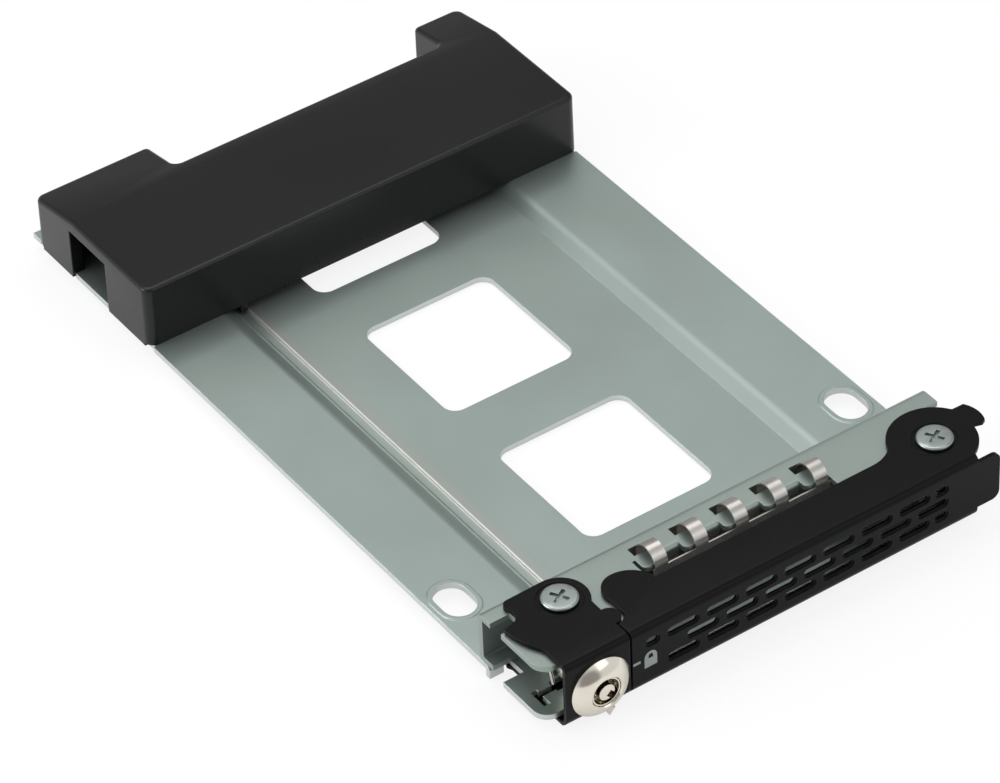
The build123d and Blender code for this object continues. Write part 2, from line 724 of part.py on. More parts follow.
# Latch: second painted channel, with the lock in its front, turning about the left screw
def latch_blank():
    """Plan of the latch's flat sheet behind the fold."""
    top_fold_back = front_face + skin + skin_fold
    rear_left = (latch_x - 5.5, latch_y + latch_lobe - 0.1)
    thumb_tip = (latch_x - 8.65, latch_y - 0.45)
    with BuildSketch() as plan:
        with BuildLine():
            Line((latch_x, latch_y + latch_lobe), rear_left)
            ThreePointArc(rear_left, (latch_x - 6.1, latch_y + 3.4), (latch_x - 6.3, latch_y + 2.75))
            Line((latch_x - 6.3, latch_y + 2.75), (latch_x - 6.0, latch_y + 2.1))
            Line((latch_x - 6.0, latch_y + 2.1), (latch_x - 6.0, latch_y + 0.75))
            Line((latch_x - 6.0, latch_y + 0.75), (latch_x - 6.7, latch_y + 0.05))
            Line((latch_x - 6.7, latch_y + 0.05), thumb_tip)
            ThreePointArc(thumb_tip, (latch_x - 8.2, latch_y - 3.1), (latch_left - 0.2, latch_y - 5.8))
            Line((latch_left - 0.2, latch_y - 5.8), (latch_left, latch_y - 6.4))
            Line((latch_left, latch_y - 6.4), (latch_left, top_fold_back))
            Line((latch_left, top_fold_back), (seam_x, top_fold_back))
            Line((seam_x, top_fold_back), (seam_x, latch_y - 2.2))
            Line((seam_x, latch_y - 2.2), (latch_x, latch_y))
            Line((latch_x, latch_y), (latch_x, latch_y + latch_lobe))
        make_face()
        with Locations((latch_x, latch_y)):
            Circle(latch_lobe)
        with Locations((seam_x + bump_offset, bump_y)):
            Circle(bump_radius)
        with Locations((latch_x, latch_y)):
            Circle(shoulder_radius + turn_gap, mode=Mode.SUBTRACT)
    return plan.sketch_local


latch_plan = latch_blank()
with BuildPart() as lock_housing:
    with BuildSketch(along(latch_left)):
        add(painted_section)
    extrude(amount=seam_x - latch_left)
    for height in (cover_low, cover_top_under):
        with BuildSketch(layer(height)):
            add(latch_plan)
        extrude(amount=skin)
    with BuildSketch(across(front_face)):
        with Locations((lock_x, lock_z)):
            Circle(lock_body + hole_gap)
    extrude(amount=-skin, mode=Mode.SUBTRACT)
    with BuildSketch(layer(cover_top)):
        with Locations((latch_x, latch_y)):
            Circle(screw_head + screw_seat)
            Circle(shoulder_radius, mode=Mode.SUBTRACT)
    extrude(amount=-0.12, mode=Mode.SUBTRACT)
save(lock_housing, "lock_housing")

# Lock barrel: coned face with an index point, and a body through the latch front
lock_axis = Axis((lock_x, 0, lock_z), (0, 1, 0))
lock_front = front_face - lock_proud
with BuildPart() as lock_barrel:
    with BuildSketch(layer(lock_z)):
        with BuildLine():
            bore = lock_x + plug_radius + hole_gap
            Line((bore, lock_front + 0.15), (bore + 0.15, lock_front))
            Line((bore + 0.15, lock_front), (lock_x + lock_lip, lock_front))
            ThreePointArc(
                (lock_x + lock_lip, lock_front),
                (lock_x + (lock_lip + lock_face) / 2 + 0.15, front_face - (lock_proud + lock_rim) / 2 - 0.1),
                (lock_x + lock_face, front_face - lock_rim),
            )
            Line((lock_x + lock_face, front_face - lock_rim), (lock_x + lock_face, front_face))
            Line((lock_x + lock_face, front_face), (lock_x + lock_body, front_face))
            Line((lock_x + lock_body, front_face), (lock_x + lock_body, lock_rear))
            Line((lock_x + lock_body, lock_rear), (bore, lock_rear))
            Line((bore, lock_rear), (bore, lock_front + 0.15))
        make_face()
    revolve(axis=lock_axis)
    with BuildSketch(across(front_face - 0.05)):
        with Locations((lock_x + lock_face * 0.24, lock_z - lock_face * 0.98)):
            RegularPolygon(0.75, 3, rotation=-103)
    extrude(amount=lock_rim + 0.35)
save(lock_barrel, "lock_barrel")

# Lock plug with the ring-shaped key way
plug_front = lock_front + 0.25
plug_rear = lock_rear + plug_behind
with BuildPart() as lock_plug:
    with BuildSketch(across(plug_front)):
        with Locations((lock_x, lock_z)):
            Circle(plug_radius)
    extrude(amount=plug_front - plug_rear)
    with BuildSketch(across(plug_front)):
        with Locations((lock_x, lock_z)):
            Circle(key_ring)
    extrude(amount=-key_depth, mode=Mode.SUBTRACT)
    with BuildSketch(across(plug_rear)):
        with Locations((lock_x, lock_z)):
            Circle(0.8)
    extrude(amount=1.8, mode=Mode.SUBTRACT)
save(lock_plug, "lock_plug")

# Centre post of the key way, a tube with a wide side notch
with BuildPart() as lock_post:
    with BuildSketch(across(plug_front - 0.15)):
        with Locations((lock_x, lock_z)):
            Circle(post_radius)
        with Locations((lock_x + post_radius * 0.7, lock_z - post_radius * 0.7)):
            Rectangle(post_radius * 1.4, 0.9, rotation=-45, mode=Mode.SUBTRACT)
    extrude(amount=-key_depth - 0.15)
save(lock_post, "lock_post")

# Pins at the bottom of the key way
with BuildPart() as lock_pins:
    with BuildSketch(across(plug_front + key_depth)):
        with Locations((lock_x, lock_z)):
            with PolarLocations((key_ring + post_radius) / 2, 7):
                Circle(0.22)
    extrude(amount=0.9)
save(lock_pins, "lock_pins")

# Round nut behind the latch front
with BuildPart() as lock_nut:
    with BuildSketch(across(front_face + skin)):
        with Locations((lock_x, lock_z)):
            Circle(lock_body + lock_wall)
            Circle(lock_body + hole_gap, mode=Mode.SUBTRACT)
    extrude(amount=-1.0)
save(lock_nut, "lock_nut")

# Cam on the back of the plug: it drops into the slot of the tray when the key turns
with BuildPart() as lock_cam:
    with BuildSketch(across(plug_rear)):
        with Locations((lock_x, lock_z)):
            Circle(plug_radius + 0.4)
        tip_x = lock_x - cam_reach + cam_width / 2
        box_sketch(tip_x, lock_x, lock_z - cam_width / 2, lock_z + cam_width / 2)
        with Locations((tip_x, lock_z)):
            Circle(cam_width / 2)
        with Locations((lock_x, lock_z)):
            Circle(0.8 + hole_gap, mode=Mode.SUBTRACT)
    extrude(amount=-cam_thick)
save(lock_cam, "lock_cam")

# Screw that holds the cam on the plug
with BuildPart() as cam_screw:
    with BuildSketch(across(plug_rear + cam_thick)):
        with Locations((lock_x, lock_z)):
            Circle(1.3)
    extrude(amount=-0.5)
    with BuildSketch(across(plug_rear + cam_thick)):
        with Locations((lock_x, lock_z)):
            Circle(0.8 - hole_gap)
    extrude(amount=cam_thick + 1.4)
    with BuildSketch(across(plug_rear + cam_thick + 0.5)):
        with Locations((lock_x, lock_z)):
            Rectangle(1.6, 0.35)
            Rectangle(0.35, 1.6)
    extrude(amount=0.3, mode=Mode.SUBTRACT)
save(cam_screw, "cam_screw")

# Contact strip: base on the wall, upright web and five arched fingers
with BuildPart() as contact_strip:
    strip_left = finger_first - finger_width / 2 - 0.3
    strip_length = (finger_count - 1) * finger_pitch + finger_width + 0.6
    web_front = finger_y - finger_arch
    arch_z = flange_top - 0.35
    base_z = seat + 4.0
    with BuildSketch(along(strip_left)):
        box_sketch(web_front, web_front + finger_sheet, base_z, arch_z - 0.2)
        box_sketch(web_front, wall_front, base_z, base_z + finger_sheet)
        box_sketch(wall_front - finger_sheet, wall_front, base_z, strip_rivet_z + 1.3)
    extrude(amount=strip_length)
    for finger in range(finger_count):
        x = finger_first + finger * finger_pitch
        with BuildSketch(along(x - finger_width / 2)):
            with Locations((finger_y, arch_z)):
                Circle(finger_arch)
                Circle(finger_arch - finger_sheet, mode=Mode.SUBTRACT)
            box_sketch(web_front, finger_y + finger_arch, arch_z - finger_arch, arch_z, mode=Mode.SUBTRACT)
            box_sketch(web_front, web_front + finger_sheet, arch_z - 0.4, arch_z)
            box_sketch(finger_y + finger_arch - finger_sheet, finger_y + finger_arch, arch_z - 1.2, arch_z)
        extrude(amount=finger_width)
    with BuildSketch(across(wall_front)):
        with Locations(*strip_rivet_spots):
            Circle(0.8 + hole_gap)
    extrude(amount=finger_sheet, mode=Mode.SUBTRACT)
save(contact_strip, "contact_strip")

# Rivets that hold the contact strip to the wall
with BuildPart() as strip_rivets:
    with BuildSketch(across(wall_rear)):
        with Locations(*strip_rivet_spots):
            Circle(0.8)
    extrude(amount=steel + finger_sheet)
    with BuildSketch(across(wall_front - finger_sheet)):
        with Locations(*strip_rivet_spots):
            Circle(1.15)
    extrude(amount=0.4, taper=20)
save(strip_rivets, "strip_rivets")

# Return springs of the handle and the latch
spring_x = bush_radius + 0.45
handle_leg = [(pivot_x - spring_x, front_face + skin + 0.6, seat + 3.55)]
save(torsion_spring(pivot_x, pivot_y, seat + handle_spring_rise, wall_front - 0.6, handle_leg), "handle_spring")
latch_leg = [
    (lock_x - lock_body - 1.6, lock_rear - 0.6, seat + 6.3),
    (lock_x - lock_body - 1.6, lock_rear - 1.6, lock_z),
]
save(torsion_spring(latch_x, latch_y, seat + latch_spring_rise, wall_front - 0.6, latch_leg), "latch_spring")
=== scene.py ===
import math

import bmesh
import bpy
from mathutils import Matrix, Vector


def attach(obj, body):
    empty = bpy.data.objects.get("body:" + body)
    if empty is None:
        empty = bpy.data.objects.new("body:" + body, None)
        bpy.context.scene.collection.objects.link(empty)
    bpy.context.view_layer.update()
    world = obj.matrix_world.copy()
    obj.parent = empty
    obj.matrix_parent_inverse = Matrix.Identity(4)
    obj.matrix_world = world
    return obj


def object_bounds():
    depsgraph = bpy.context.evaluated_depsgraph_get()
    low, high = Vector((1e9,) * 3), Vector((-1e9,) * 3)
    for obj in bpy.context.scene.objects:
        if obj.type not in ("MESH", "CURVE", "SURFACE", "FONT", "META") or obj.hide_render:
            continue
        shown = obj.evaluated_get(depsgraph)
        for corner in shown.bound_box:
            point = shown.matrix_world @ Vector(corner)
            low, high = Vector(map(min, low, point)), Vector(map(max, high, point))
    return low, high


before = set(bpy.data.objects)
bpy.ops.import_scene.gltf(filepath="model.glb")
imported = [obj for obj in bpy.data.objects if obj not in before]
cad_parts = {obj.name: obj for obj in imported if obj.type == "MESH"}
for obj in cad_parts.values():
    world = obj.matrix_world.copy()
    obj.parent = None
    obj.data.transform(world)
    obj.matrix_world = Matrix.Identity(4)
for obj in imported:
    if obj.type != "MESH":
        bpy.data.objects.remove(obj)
cad_low, cad_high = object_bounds()
MM = 0.001

# The camera stands in front, to the left and above, far off with a long lens, as for a catalogue
# shot, so the edges of the tray stay close to parallel.
CAMERA_PLACE = Vector((-299.36, -445.14, 459.23)) * MM
CAMERA_RIGHT = Vector((0.81707, -0.57545, -0.03536))
CAMERA_FORWARD = Vector((0.41967, 0.63569, -0.64789))
SENSOR_WIDTH = 36.0
LENS = 194.94

camera_data = bpy.data.cameras.new("camera")
camera_data.sensor_fit = "HORIZONTAL"
camera_data.sensor_width = SENSOR_WIDTH
camera_data.lens = LENS
camera_data.clip_start = 0.01
camera_data.clip_end = 20.0
camera = bpy.data.objects.new("camera", camera_data)
bpy.context.scene.collection.objects.link(camera)
camera_up = CAMERA_RIGHT.cross(CAMERA_FORWARD)
turn = Matrix((CAMERA_RIGHT, camera_up, -CAMERA_FORWARD)).transposed()
camera.matrix_world = Matrix.Translation(CAMERA_PLACE) @ turn.to_4x4()
bpy.context.scene.camera = camera
bpy.context.scene.view_settings.view_transform = "Standard"

# The studio is a pale room: a white floor that keeps the shadow, a soft box at the left, one
# overhead and a weak one in front. The room is dark low in front of the tray, for the lock to
# mirror, and dim high behind it. The floor glows, like a light table, so its shadows stay pale.
ROOM_LIGHT = 0.80
ROOM_TINT = (0.93, 0.96, 1.0)
ROOM_SEEN = 1.0  # the white that shows behind the tray
DARK_LIGHT = 0.02
DARK_SIDE = (-0.30, -0.93, 0.19)
DARK_REACH = (0.80, 0.93)  # cosines from that side where the dark begins and where it is full
DIM_SHARE = 0.25
DIM_SIDE = (0.42, 0.64, 0.65)
DIM_REACH = (0.45, 0.90)
ROOM_FILL = 0.3  # share of the white room that lights the tray
FLOOR_FILL = 0.5  # share of the floor's glow that lights the tray
FLOOR_SIZE = 6.0
FLOOR_DROP = 0.0002
FLOOR_SHADE = 0.9
FLOOR_GLOW = 0.85


def add_node(tree, kind, place=(0, 0), **settings):
    node = tree.nodes.new(kind)
    node.location = place
    for name, value in settings.items():
        setattr(node, name, value)
    return node


def blank_material(name):
    material = bpy.data.materials.new(name)
    material.use_nodes = True
    material.node_tree.nodes.clear()
    return material, material.node_tree


def seen_share(tree, rest):
    """1 for camera and transmission rays, and a given share for the rest."""
    path = add_node(tree, "ShaderNodeLightPath", (-900, 300))
    seen = add_node(tree, "ShaderNodeMath", (-700, 300), operation="MAXIMUM")
    share = add_node(tree, "ShaderNodeMath", (-540, 300), operation="MAXIMUM")
    share.inputs[1].default_value = rest
    tree.links.new(path.outputs["Is Camera Ray"], seen.inputs[0])
    tree.links.new(path.outputs["Is Transmission Ray"], seen.inputs[1])
    tree.links.new(seen.outputs[0], share.inputs[0])
    return share.outputs[0]


def map_range(tree, spot, before, after, smooth=False):
    """A node that maps one span of values onto another."""
    node = add_node(tree, "ShaderNodeMapRange", spot)
    if smooth:
        node.interpolation_type = "SMOOTHSTEP"
    node.inputs["From Min"].default_value, node.inputs["From Max"].default_value = before
    node.inputs["To Min"].default_value, node.inputs["To Max"].default_value = after
    return node


def room_side(tree, place, height, side, reach, light):
    """The room's light, which changes from light[0] to light[1] toward one side."""
    toward = add_node(tree, "ShaderNodeVectorMath", (-900, height), operation="DOT_PRODUCT")
    toward.inputs[1].default_value = side
    fall = map_range(tree, (-700, height), reach, light, smooth=True)
    tree.links.new(place.outputs["Generated"], toward.inputs[0])
    tree.links.new(toward.outputs["Value"], fall.inputs["Value"])
    return fall


world = bpy.data.worlds.new("studio")
bpy.context.scene.world = world
world.use_nodes = True
tree = world.node_tree
tree.nodes.clear()
lit = add_node(tree, "ShaderNodeBackground", (-300, 100))
lit.inputs["Color"].default_value = (*ROOM_TINT, 1)
place = add_node(tree, "ShaderNodeTexCoord", (-1100, 0))
dark = room_side(tree, place, 0, DARK_SIDE, DARK_REACH, (ROOM_LIGHT, DARK_LIGHT))
dim = room_side(tree, place, -250, DIM_SIDE, DIM_REACH, (1.0, DIM_SHARE))
strength = add_node(tree, "ShaderNodeMath", (-500, -100), operation="MULTIPLY")
tree.links.new(dark.outputs[0], strength.inputs[0])
tree.links.new(dim.outputs[0], strength.inputs[1])
tree.links.new(strength.outputs[0], lit.inputs["Strength"])
white = add_node(tree, "ShaderNodeBackground", (-300, -60))
white.inputs["Color"].default_value = (1, 1, 1, 1)
white.inputs["Strength"].default_value = ROOM_SEEN
mix = add_node(tree, "ShaderNodeMixShader", (0, 0))
out = add_node(tree, "ShaderNodeOutputWorld", (200, 0))
tree.links.new(seen_share(tree, ROOM_FILL), mix.inputs["Fac"])
tree.links.new(lit.outputs[0], mix.inputs[1])
tree.links.new(white.outputs[0], mix.inputs[2])
tree.links.new(mix.outputs[0], out.inputs["Surface"])

floor_mesh = bpy.data.meshes.new("floor")
bm = bmesh.new()
bmesh.ops.create_grid(bm, x_segments=1, y_segments=1, size=FLOOR_SIZE / 2)
bmesh.ops.translate(bm, vec=(0, 0, cad_low.z - FLOOR_DROP), verts=bm.verts)
bm.to_mesh(floor_mesh)
bm.free()
floor = bpy.data.objects.new("floor", floor_mesh)
bpy.context.scene.collection.objects.link(floor)
material, tree = blank_material("floor_paper")
matt = add_node(tree, "ShaderNodeBsdfPrincipled", (-300, 100))
matt.inputs["Base Color"].default_value = (FLOOR_SHADE, FLOOR_SHADE, FLOOR_SHADE, 1)
matt.inputs["Roughness"].default_value = 0.9
matt.inputs["Specular IOR Level"].default_value = 0.1
glow = add_node(tree, "ShaderNodeEmission", (-300, -200))
glow.inputs["Strength"].default_value = 1.0
amount = add_node(tree, "ShaderNodeMath", (-300, 300), operation="MULTIPLY")
amount.inputs[1].default_value = FLOOR_GLOW
mix = add_node(tree, "ShaderNodeMixShader", (0, 0))
out = add_node(tree, "ShaderNodeOutputMaterial", (300, 0))
tree.links.new(seen_share(tree, FLOOR_FILL), amount.inputs[0])
tree.links.new(amount.outputs[0], mix.inputs["Fac"])
tree.links.new(matt.outputs[0], mix.inputs[1])
tree.links.new(glow.outputs[0], mix.inputs[2])
tree.links.new(mix.outputs[0], out.inputs["Surface"])
floor.data.materials.append(material)


def soft_box(name, place, size, power):
    """An area light that faces the tray."""
    data = bpy.data.lights.new(name, "AREA")
    data.shape = "RECTANGLE"
    data.size, data.size_y = size
    data.energy = power
    box = bpy.data.objects.new(name, data)
    bpy.context.scene.collection.objects.link(box)
    box.location = place
    box.rotation_euler = (-Vector(place)).to_track_quat("-Z", "Y").to_euler()


soft_box("overhead", place=(0.05, 0.25, 0.75), size=(0.7, 0.5), power=2.7)
soft_box("left", place=(-0.75, 0.30, 0.35), size=(0.5, 0.4), power=3.0)
soft_box("front", place=(0.30, -0.60, 0.50), size=(0.45, 0.35), power=0.4)

# Shared surface effects. Each is a group of nodes that gives a mask or a height on the piece's own
# coordinates: the soft edge of cut sheet, wear on that edge (on the tray plate also a painted
# highlight), and a fine grain. Each pair below holds where an effect begins and where it is full.
EDGE_BEND = (0.995, 0.85)  # cosine between a face and its softened edge
PATCH_SPAN = (0.35, 0.65)  # noise level
CLOUD_SPAN = (0.3, 0.7)  # noise level
UPRIGHT_FACE = (0.06, 0.02)  # square of the normal's height


def new_group(name, inputs, outputs):
    group = bpy.data.node_groups.new(name, "ShaderNodeTree")
    for label, kind, value in inputs:
        socket = group.interface.new_socket(label, in_out="INPUT", socket_type=kind)
        socket.default_value = value
    for label, kind in outputs:
        group.interface.new_socket(label, in_out="OUTPUT", socket_type=kind)
    source = add_node(group, "NodeGroupInput", (-900, 0))
    sink = add_node(group, "NodeGroupOutput", (600, 0))
    return group, source, sink


def edge_group():
    group, source, sink = new_group(
        "soft_edge",
        [
            ("Radius", "NodeSocketFloat", 0.1 * MM),
            ("Wear", "NodeSocketFloat", 1.0),
            ("Patch Scale", "NodeSocketFloat", 600.0),
        ],
        [("Mask", "NodeSocketFloat"), ("Normal", "NodeSocketVector")],
    )
    bevel = add_node(group, "ShaderNodeBevel", (-600, 200), samples=4)
    geometry = add_node(group, "ShaderNodeNewGeometry", (-600, 0))
    dot = add_node(group, "ShaderNodeVectorMath", (-400, 100), operation="DOT_PRODUCT")
    spread = map_range(group, (-200, 100), EDGE_BEND, (0, 1))
    place = add_node(group, "ShaderNodeTexCoord", (-800, -300))
    patches = add_node(group, "ShaderNodeTexNoise", (-600, -300))
    patches.inputs["Detail"].default_value = 3.0
    patchy = map_range(group, (-400, -300), PATCH_SPAN, (0, 1))
    both = add_node(group, "ShaderNodeMath", (0, 0), operation="MULTIPLY")
    scaled = add_node(group, "ShaderNodeMath", (200, 0), operation="MULTIPLY", use_clamp=True)
    link = group.links.new
    link(source.outputs["Radius"], bevel.inputs["Radius"])
    link(bevel.outputs[0], dot.inputs[0])
    link(geometry.outputs["Normal"], dot.inputs[1])
    link(dot.outputs["Value"], spread.inputs["Value"])
    link(place.outputs["Object"], patches.inputs["Vector"])
    link(source.outputs["Patch Scale"], patches.inputs["Scale"])
    link(patches.outputs[0], patchy.inputs["Value"])
    link(spread.outputs[0], both.inputs[0])
    link(patchy.outputs[0], both.inputs[1])
    link(both.outputs[0], scaled.inputs[0])
    link(source.outputs["Wear"], scaled.inputs[1])
    link(scaled.outputs[0], sink.inputs["Mask"])
    link(bevel.outputs[0], sink.inputs["Normal"])
    return group


def grain_group():
    group, source, sink = new_group(
        "fine_grain",
        [
            ("Grain Scale", "NodeSocketFloat", 4000.0),
            ("Cloud Scale", "NodeSocketFloat", 60.0),
            ("Stretch", "NodeSocketVector", (1.0, 1.0, 1.0)),
        ],
        [("Grain", "NodeSocketFloat"), ("Cloud", "NodeSocketFloat"), ("Streak", "NodeSocketFloat")],
    )
    place = add_node(group, "ShaderNodeTexCoord", (-800, 0))
    grain = add_node(group, "ShaderNodeTexNoise", (-300, 200))
    grain.inputs["Detail"].default_value = 2.0
    cloud = add_node(group, "ShaderNodeTexNoise", (-300, -50))
    cloud.inputs["Detail"].default_value = 5.0
    stretched = add_node(group, "ShaderNodeVectorMath", (-500, -300), operation="MULTIPLY")
    streak = add_node(group, "ShaderNodeTexNoise", (-300, -300))
    streak.inputs["Detail"].default_value = 3.0
    link = group.links.new
    link(place.outputs["Object"], grain.inputs["Vector"])
    link(place.outputs["Object"], cloud.inputs["Vector"])
    link(place.outputs["Object"], stretched.inputs[0])
    link(source.outputs["Stretch"], stretched.inputs[1])
    link(stretched.outputs[0], streak.inputs["Vector"])
    link(source.outputs["Grain Scale"], grain.inputs["Scale"])
    link(source.outputs["Grain Scale"], streak.inputs["Scale"])
    link(source.outputs["Cloud Scale"], cloud.inputs["Scale"])
    link(grain.outputs[0], sink.inputs["Grain"])
    link(cloud.outputs[0], sink.inputs["Cloud"])
    link(streak.outputs[0], sink.inputs["Streak"])
    return group


EDGE = edge_group()
GRAIN = grain_group()


def mixed(tree, place, mask, colour_now, colour):
    """The colour so far, changed to another where the mask is 1."""
    node = add_node(tree, "ShaderNodeMix", place, data_type="RGBA")
    node.inputs[7].default_value = (*colour, 1)
    tree.links.new(mask, node.inputs["Factor"])
    tree.links.new(colour_now, node.inputs[6])
    return node.outputs[2]


def cut_faces(tree):
    """1 on upright faces, 0 on the flat and the sloped ones."""
    geometry = add_node(tree, "ShaderNodeNewGeometry", (-450, 500))
    upright = add_node(tree, "ShaderNodeSeparateXYZ", (-250, 500))
    square = add_node(tree, "ShaderNodeMath", (-150, 600), operation="POWER")
    square.inputs[1].default_value = 2.0
    steep = map_range(tree, (-60, 500), UPRIGHT_FACE, (0, 1))
    tree.links.new(geometry.outputs["True Normal"], upright.inputs[0])
    tree.links.new(upright.outputs["Z"], square.inputs[0])
    tree.links.new(square.outputs[0], steep.inputs["Value"])
    return steep.outputs[0]


def stripe(tree, middle, half, share):
    """The share in a soft stripe along the piece, 0 away from it."""
    where = add_node(tree, "ShaderNodeTexCoord", (-900, 800))
    across = add_node(tree, "ShaderNodeSeparateXYZ", (-700, 800))
    off = add_node(tree, "ShaderNodeMath", (-500, 800), operation="SUBTRACT")
    off.inputs[1].default_value = middle * MM
    away = add_node(tree, "ShaderNodeMath", (-350, 800), operation="ABSOLUTE")
    band = map_range(tree, (-200, 800), (half * MM, 0.2 * half * MM), (0, share), smooth=True)
    tree.links.new(where.outputs["Object"], across.inputs[0])
    tree.links.new(across.outputs["X"], off.inputs[0])
    tree.links.new(off.outputs[0], away.inputs[0])
    tree.links.new(away.outputs[0], band.inputs["Value"])
    return band.outputs[0]


def finish_material(
    name,
    colour,
    wear_and_highlight_colour,
    metallic,
    roughness,
    rough_spread=0.08,
    shade_spread=0.06,
    grain_scale=4000.0,
    cloud_scale=60.0,
    grain_height=0.004,
    edge_radius=0.1,
    edge_wear_and_highlight=0.5,
    stretch=(1, 1, 1),
    streaks=0.0,
    specular=0.5,
    cut_face_highlight_colour=None,
    highlight_and_tint_stripes=(),
):
    """A surface with a cloudy shade, grain in its height, streaks in its gloss, and edges in a
    lighter colour, for wear, and on the tray plate also as a painted highlight.

    Where a cut face colour is given, the upright cut faces of a flat sheet take it, a painted
    highlight where they catch the light. Each of the stripes is a soft stripe of colour along the
    piece, such as a painted highlight: its middle and half width in mm, its share and its colour.
    """
    material, tree = blank_material(name)
    link = tree.links.new
    shader = add_node(tree, "ShaderNodeBsdfPrincipled", (500, 0))
    shader.inputs["Specular IOR Level"].default_value = specular
    out = add_node(tree, "ShaderNodeOutputMaterial", (800, 0))
    link(shader.outputs[0], out.inputs["Surface"])
    if edge_radius:
        edge = add_node(tree, "ShaderNodeGroup", (-700, -300), node_tree=EDGE)
        edge.inputs["Radius"].default_value = edge_radius * MM
        edge.inputs["Wear"].default_value = edge_wear_and_highlight
    grain = add_node(tree, "ShaderNodeGroup", (-700, 100), node_tree=GRAIN)
    grain.inputs["Grain Scale"].default_value = grain_scale
    grain.inputs["Cloud Scale"].default_value = cloud_scale
    grain.inputs["Stretch"].default_value = stretch
    # Shade: the colour, a little darker or lighter in clouds
    shades = (1 - shade_spread, 1 + shade_spread)
    shade = map_range(tree, (-450, 250), CLOUD_SPAN, shades)
    link(grain.outputs["Cloud"], shade.inputs["Value"])
    tinted = add_node(tree, "ShaderNodeVectorMath", (-250, 250), operation="SCALE")
    tinted.inputs[0].default_value = colour
    link(shade.outputs[0], tinted.inputs["Scale"])
    colour_now = tinted.outputs[0]
    # Painted highlight: upright cut faces take a lighter colour
    if cut_face_highlight_colour:
        colour_now = mixed(tree, (-60, 300), cut_faces(tree), colour_now, cut_face_highlight_colour)
    # Edges in the edge colour: wear, and on the tray plate also a painted highlight
    if edge_radius:
        colour_now = mixed(tree, (150, 200), edge.outputs["Mask"], colour_now, wear_and_highlight_colour)
    # Soft stripes of colour, such as a painted highlight along the plate's groove
    for middle, half, share, stripe_colour in highlight_and_tint_stripes:
        mask = stripe(tree, middle, half, share)
        colour_now = mixed(tree, (150, 500), mask, colour_now, stripe_colour)
    link(colour_now, shader.inputs["Base Color"])
    # Gloss: clouds and streaks
    gloss = add_node(tree, "ShaderNodeMath", (-450, -50), operation="MULTIPLY_ADD")
    gloss.inputs[1].default_value = rough_spread * 2
    gloss.inputs[2].default_value = roughness - rough_spread
    link(grain.outputs["Cloud"], gloss.inputs[0])
    streaky = add_node(tree, "ShaderNodeMath", (-200, -50), operation="MULTIPLY_ADD")
    streaky.use_clamp = True
    streaky.inputs[1].default_value = streaks
    link(grain.outputs["Streak"], streaky.inputs[0])
    link(gloss.outputs[0], streaky.inputs[2])
    link(streaky.outputs[0], shader.inputs["Roughness"])
    shader.inputs["Metallic"].default_value = metallic
    # Height of the grain, on the softened edges
    bump = add_node(tree, "ShaderNodeBump", (200, -300))
    bump.inputs["Distance"].default_value = grain_height * MM
    bump.inputs["Strength"].default_value = 1.0
    link(grain.outputs["Grain"], bump.inputs["Height"])
    if edge_radius:
        link(edge.outputs["Normal"], bump.inputs["Normal"])
    link(bump.outputs[0], shader.inputs["Normal"])
    return material


CREASE = math.radians(28)


def dress(node, material):
    """Gives a CAD piece its finish and smooth shading between real edges."""
    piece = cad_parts[node]
    piece.data.materials.clear()
    piece.data.materials.append(material)
    for polygon in piece.data.polygons:
        polygon.use_smooth = True
    weld = piece.modifiers.new("weld", "WELD")
    weld.merge_threshold = 0.0005 * MM
    split = piece.modifiers.new("split", "EDGE_SPLIT")
    split.split_angle = CREASE


# Tray plate and front bracket: folded steel sheet, zinc plated and passivated, with a grey-green
# cast and faint rolling marks along its length. On the plate, the upright cut faces are painted
# lighter, a painted highlight for the light they catch, and the edges take a bright colour, partly
# burr wear and partly a painted highlight. A thin bright stripe along one edge of the groove is a
# painted highlight, with a warmer band of colour beside it.
GROOVE_EDGE = -19.3
zinc_sheet = finish_material(
    "zinc_sheet",
    colour=(0.289, 0.335, 0.311),
    wear_and_highlight_colour=(0.5, 0.53, 0.51),
    metallic=0.85,
    roughness=0.42,
    rough_spread=0.06,
    shade_spread=0.05,
    grain_scale=5200.0,
    cloud_scale=45.0,
    grain_height=0.003,
    edge_radius=0.12,
    edge_wear_and_highlight=0.45,
    stretch=(1.0, 0.06, 1.0),
    streaks=0.05,
)
zinc_plate = finish_material(
    "zinc_plate",
    colour=(0.319, 0.372, 0.346),
    # bright edges: partly burr wear, partly a painted highlight
    wear_and_highlight_colour=(0.85, 0.88, 0.86),
    metallic=0.85,
    roughness=0.42,
    rough_spread=0.06,
    shade_spread=0.05,
    grain_scale=5200.0,
    cloud_scale=45.0,
    grain_height=0.003,
    edge_radius=0.15,
    edge_wear_and_highlight=0.6,
    stretch=(1.0, 0.06, 1.0),
    streaks=0.05,
    # upright cut faces painted lighter, a painted highlight
    cut_face_highlight_colour=(0.58, 0.61, 0.59),
    # a warm band, and a thin bright stripe that is a painted highlight on the groove's edge
    highlight_and_tint_stripes=[
        (GROOVE_EDGE + 0.5, 1.5, 0.5, (0.375, 0.365, 0.345)),
        (GROOVE_EDGE, 0.26, 0.75, (0.84, 0.84, 0.80)),
    ],
)
dress("tray_plate", zinc_plate)
dress("front_bracket", zinc_sheet)

# Rear block: one hollow piece, injection moulded in black plastic with a fine spark-eroded skin.
# It sits on the rear of the plate, and two screws hold it.
block_plastic = finish_material(
    "block_plastic",
    colour=(0.004, 0.004, 0.004),
    wear_and_highlight_colour=(0.02, 0.02, 0.02),
    metallic=0.0,
    roughness=0.28,
    rough_spread=0.05,
    shade_spread=0.08,
    grain_scale=5000.0,
    cloud_scale=50.0,
    grain_height=0.012,
    edge_radius=0.3,
    edge_wear_and_highlight=0.1,
    specular=0.32,
)
dress("rear_block", block_plastic)

